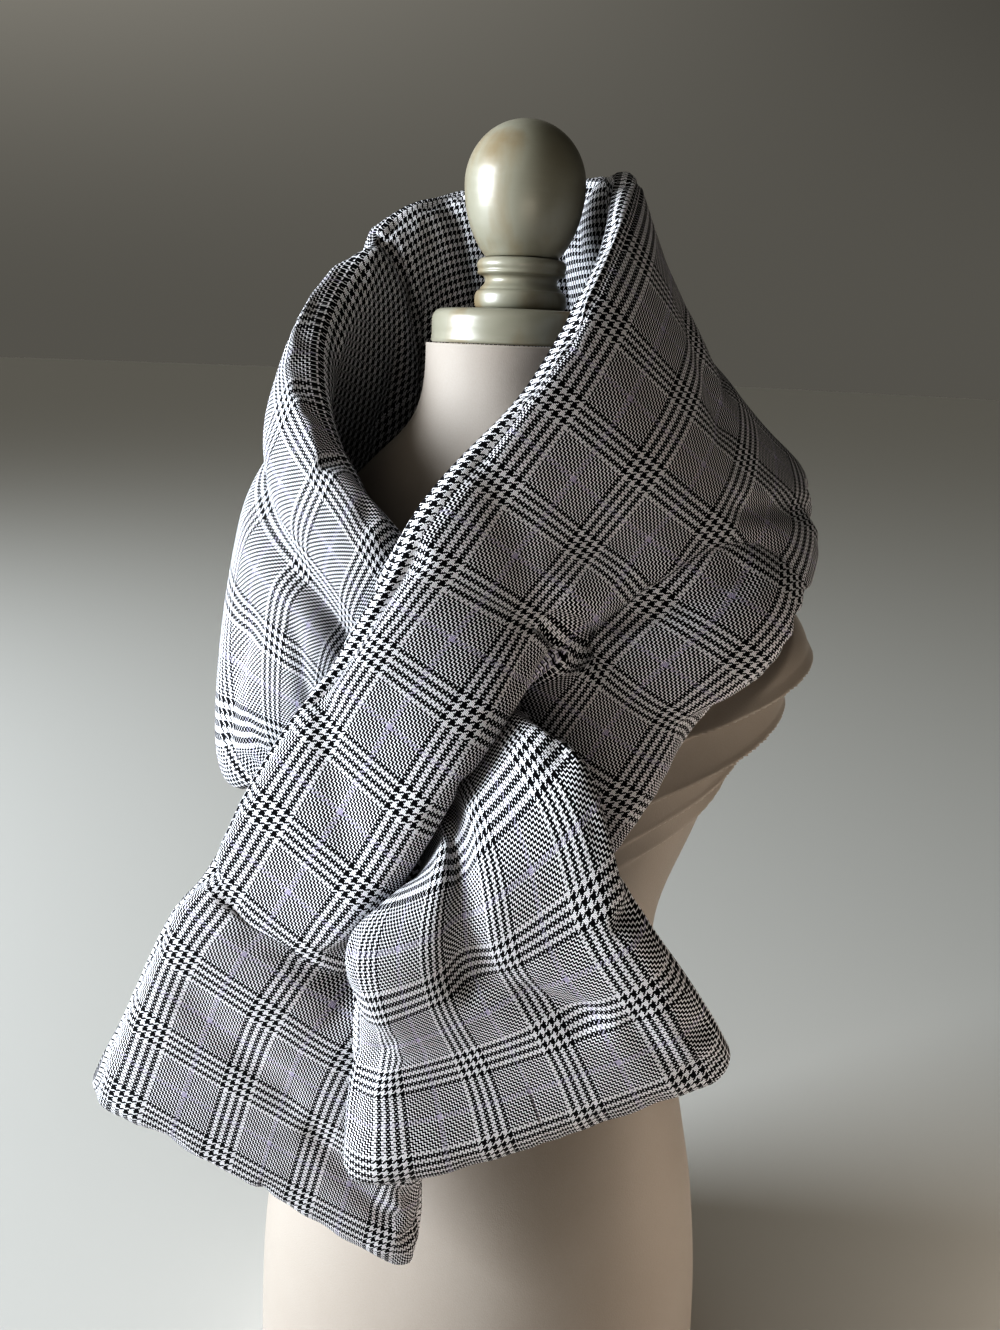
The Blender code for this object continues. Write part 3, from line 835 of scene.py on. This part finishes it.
def makeForm():
    # rings of the body's radius round the axis, closed by a point in the middle of each end; each armhole
    # fold steps out sharply at its lip and dies away softly above it; the bottom edge is a quarter round
    low, high = cover["close"]
    spans = (0, low, cover["rows"]), (low, high, cover["rows"]), (high, form["neckTop"], cover["rows"] // 2)
    height = [np.linspace(*span) for span in spans]
    height = np.concatenate([height[0][:-1], height[1][:-1], height[2]])[:, None]
    turn = np.linspace(0, 2 * math.pi, form["sides"], endpoint=False)[None, :]
    radius = formRadius(turn + 0 * height, height + 0 * turn)
    aside = degreesAside(turn, form["armhole"]["turn"])
    start, level, climb = cover["under"]
    free = 1 - smoothRise(height - level - climb * (np.degrees(turn) - start), *cover["underBetween"])
    behind = np.clip(aside, 0, None) / cover["behind"]
    for lip, out, tall in cover["folds"]:
        above = height - lip - cover["rise"] * aside + cover["sag"] * aside ** 2
        fold = smoothRise(above, -cover["lip"], cover["lip"])
        fold = fold * np.clip(1 - above / tall, 0, 1) ** cover["fade"]
        radius += out * fold * free * np.exp(-(aside / cover["reach"]) ** 4 - behind ** 2)
    waves = np.sin(3 * turn + height / 41) * np.sin(height / 23 + 2 * turn)
    radius += cover["uneven"] * waves * smoothRise(height, *cover["unevenFrom"])
    radius -= cover["hem"] - np.sqrt(cover["hem"] ** 2 - np.clip(cover["hem"] - height, 0, None) ** 2)
    return closedRings("dress_form_cover", roundAxis(radius, turn, height))


def roundAxis(radius, turn, height):
    # points in metres from a radius and a height in mm at each turn
    return np.stack([radius * np.sin(turn), -radius * np.cos(turn), height + 0 * turn], -1) * mm


def closedRings(name, points):
    # a stack of rings, each closed on itself, with a fan to one point in the middle of each end
    rows, sides = points.shape[:2]
    numbers = np.arange(rows * sides).reshape(rows, sides)
    numbers = np.concatenate([numbers, numbers[:, :1]], 1)
    middles = np.stack([points[0].mean(0), points[-1].mean(0)])
    bottom, top = rows * sides, rows * sides + 1
    low, high = numbers[0], numbers[-1]
    fans = np.concatenate([np.stack([low[1:], low[:-1], 0 * low[1:] + bottom], -1),
                           np.stack([high[:-1], high[1:], 0 * high[1:] + top], -1)])
    points = np.concatenate([points.reshape(-1, 3), middles])
    return meshFrom(name, points, gridQuads(numbers), triangles=fans)


def coverMaterial():
    # a fine knit over the whole form: close noise for the loops, wide soft noise for wear
    material, tree, shader = newMaterial("form_cover", cover["roughness"])
    loops = noiseOf(tree, *cover["loops"])
    soft = noiseOf(tree, *cover["wear"])
    sharp, faded, start = cover["mixed"]
    share = calc(tree, "MULTIPLY_ADD", loops, sharp, calc(tree, "MULTIPLY_ADD", soft, faded, start))
    tree.links.new(mixColours(tree, share, cover["colour"], cover["worn"]), shader.inputs["Base Color"])
    bumpFrom(tree, shader, loops, *cover["bump"])
    setSheen(shader, cover["sheen"], cover["specular"])
    return material


formCover = makeForm()
formCover.data.materials.append(coverMaterial())
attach(formCover, "root")
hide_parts("dress_form_body")
print("dress form made")

# The turned and painted wood on the neck.
turning = {
    "sides": 192,
    "step": 0.45,  # length of a step along the outline, in mm
    # radius and height above the neck's top in mm, from the bottom up
    "cap": [(54.2, 0.3), (55.0, 1.2), (55.0, 5.0), (55.0, 9.0), (55.0, 13.0), (54.6, 16.0), (53.2, 18.7),
            (50.8, 20.4), (47.5, 21.0), (38.0, 21.1), (25.0, 21.1)],
    "rings": [(25.0, 21.3), (27.4, 21.9), (28.7, 24.6), (28.8, 28.0), (28.3, 30.6), (27.0, 32.3),
              (25.9, 32.9), (25.3, 33.9), (23.7, 35.7), (22.5, 38.0), (22.9, 39.9), (24.6, 41.2),
              (26.6, 41.9), (27.5, 43.2), (27.0, 44.3), (27.3, 45.3), (27.9, 47.0), (27.3, 49.4),
              (25.6, 51.1), (22.8, 51.7)],
    # radius of the ball and of the flat it sits on, heights of its widest line and its bottom, where its
    # top ends in degrees, and its steps
    "ball": {"radius": 37.0, "widest": 94.0, "seat": 22.5, "bottom": 52.0, "end": 89.2, "steps": 150},
    "paint": (0.20, 0.15, 0.085, 1),  # the yellowed streaks, the wood where the paint is worn, and the ivory
    "bare": (0.20, 0.13, 0.07, 1),
    "light": (0.255, 0.247, 0.205, 1),
    "streaks": (26.0, 5.0, (1.0, 1.0, 0.28)),  # each noise's scale, detail and stretch
    "brush": (120.0, 3.0, (0.25, 0.25, 3.0)),
    "wear": (240.0, 4.0),
    "yellowed": (5.0, -2.6),  # slope and start of the streaks' colour, and of the worn places'
    "chipped": (9.0, -3.9),
    "chips": 0.55,  # how strongly the bare wood shows, and how much the wear adds to the brush marks' relief
    "pits": 0.3,
    "roughness": (0.22, 0.24),  # how much the brush marks add, and the least
    "bump": (0.35, 0.0004),
    "coat": (0.12, 0.25),
}


def turnedPiece(name, outline):
    # an outline of (radius, height) turned round the axis
    outline = np.asarray(outline)
    turn = np.linspace(0, 2 * math.pi, turning["sides"], endpoint=False)[None, :]
    return closedRings(name, roundAxis(outline[:, :1], turn, outline[:, 1:] + form["neckTop"]))


def smoothOutline(rows):
    # natural cubic through the rows by their distance along the outline
    rows = np.array(rows, float)
    along = np.concatenate([[0], np.cumsum(np.hypot(*np.diff(rows, axis=0).T))])
    return splineThrough(along, rows, np.linspace(0, along[-1], round(along[-1] / turning["step"])))


def ballOutline():
    # half a circle above the widest line, half an ellipse below it, cut off at the seat
    ball = turning["ball"]
    low = -math.acos(ball["seat"] / ball["radius"])
    deep = (ball["widest"] - ball["bottom"]) / math.sin(-low)
    angle = np.linspace(low, math.radians(ball["end"]), ball["steps"])
    tall = np.where(angle < 0, deep, ball["radius"])
    return np.stack([ball["radius"] * np.cos(angle), ball["widest"] + tall * np.sin(angle)], -1)


def paintMaterial():
    # old ivory paint: brush marks round the axis, yellowed streaks down it, and wear where noise runs high
    material, tree, shader = newMaterial("painted_wood", 0.33)
    streaks, brush, wear = (noiseOf(tree, *turning[key]) for key in ("streaks", "brush", "wear"))
    yellowed = clampShare(tree, calc(tree, "MULTIPLY_ADD", streaks, *turning["yellowed"]))
    colour = mixColours(tree, yellowed, turning["light"], turning["paint"])
    worn = calc(tree, "MULTIPLY", wear, streaks)
    chipped = clampShare(tree, calc(tree, "MULTIPLY_ADD", worn, *turning["chipped"]))
    colour = mixColours(tree, calc(tree, "MULTIPLY", chipped, turning["chips"]), colour, turning["bare"])
    tree.links.new(colour, shader.inputs["Base Color"])
    tree.links.new(calc(tree, "MULTIPLY_ADD", brush, *turning["roughness"]), shader.inputs["Roughness"])
    bumpFrom(tree, shader, calc(tree, "MULTIPLY_ADD", wear, turning["pits"], brush), *turning["bump"])
    shader.inputs["Coat Weight"].default_value = turning["coat"][0]
    shader.inputs["Coat Roughness"].default_value = turning["coat"][1]
    return material


paint = paintMaterial()
for name, node, outline in (("neck_cap_turned", "neck_cap", smoothOutline(turning["cap"])),
                            ("finial_rings_turned", "finial_rings", smoothOutline(turning["rings"])),
                            ("finial_ball_turned", "finial_ball", ballOutline())):
    piece = turnedPiece(name, outline)
    piece.data.materials.append(paint)
    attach(piece, "root")
    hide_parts(node)
print("turned wood made")

# The plain floor, the room's soft light and the lamps.
studio = {
    "floor": (0.55, 0.55, 0.54, 1),
    "floorAcross": 30.0,  # radius in metres
    "air": (0.84, 0.81, 0.73, 1),
    "airLeft": 0.62,  # the room's strength on the picture's two sides, and near the horizon
    "airRight": 0.03,
    "horizon": 0.135,
    "right": (0.906, 0.423, 0.2),  # the way to the dark side
    "slope": 1.2,  # how fast the room darkens that way, and how fast the horizon's light gives way upwards
    "climb": 2.0,
    # each lamp's place, the height it looks at, how wide it is, its power and its colour
    "lamps": {
        "window": ((-3.28, -2.47, 1.4), 0.5, 2.2, 305.0, (0.90, 0.955, 1.0)),
        "fill": ((1.0, -1.45, 0.05), 0.5, 0.9, 7.0, (1.0, 0.88, 0.74)),
        "low": ((0.72, 0.16, 0.05), 0.4, 0.4, 3.2, (1.0, 0.88, 0.76)),
    },
    "view": "Standard",
    "look": "Very High Contrast",
}


def makeFloor():
    bpy.ops.mesh.primitive_circle_add(vertices=96, radius=studio["floorAcross"], fill_type="NGON",
                                      location=(0, 0, 0))
    floor = bpy.context.object
    floor.name = "floor"
    material, tree, shader = newMaterial("floor", 0.9)
    shader.inputs["Base Color"].default_value = studio["floor"]
    floor.data.materials.append(material)


def makeRoom():
    # strength falls from left to right, and nearer the horizon it is more and more the horizon's own
    world = bpy.data.worlds.new("room")
    world.use_nodes = True
    scene.world = world
    tree = world.node_tree
    air = tree.nodes["Background"]
    air.inputs["Color"].default_value = studio["air"]
    toward = tree.nodes.new("ShaderNodeTexCoord").outputs["Generated"]
    aside = tree.nodes.new("ShaderNodeVectorMath")
    aside.operation = "DOT_PRODUCT"
    tree.links.new(toward, aside.inputs[0])
    aside.inputs[1].default_value = studio["right"]
    share = clampShare(tree, calc(tree, "MULTIPLY_ADD", aside.outputs["Value"], studio["slope"], 0.5))
    room = mixShare(tree, share, studio["airLeft"], studio["airRight"])
    risen = clampShare(tree, calc(tree, "MULTIPLY", splitAxes(tree, toward)[2], studio["climb"]))
    risen = calc(tree, "POWER", risen, 2.0)
    tree.links.new(mixShare(tree, risen, studio["horizon"], room), air.inputs["Strength"])


def addLamp(name, place, aim, size, power, colour):
    # a square lamp that looks at a height on the form's axis
    light = bpy.data.lights.new(name, "AREA")
    light.energy = power
    light.size = size
    light.color = colour
    lamp = bpy.data.objects.new(name, light)
    scene.collection.objects.link(lamp)
    lamp.location = place
    lamp.rotation_euler = (Vector((0, 0, aim)) - Vector(place)).to_track_quat("-Z", "Y").to_euler()


makeFloor()
makeRoom()
for name, lamp in studio["lamps"].items():
    addLamp(name, *lamp)
scene.view_settings.view_transform = studio["view"]
scene.view_settings.look = studio["look"]
print("studio made")
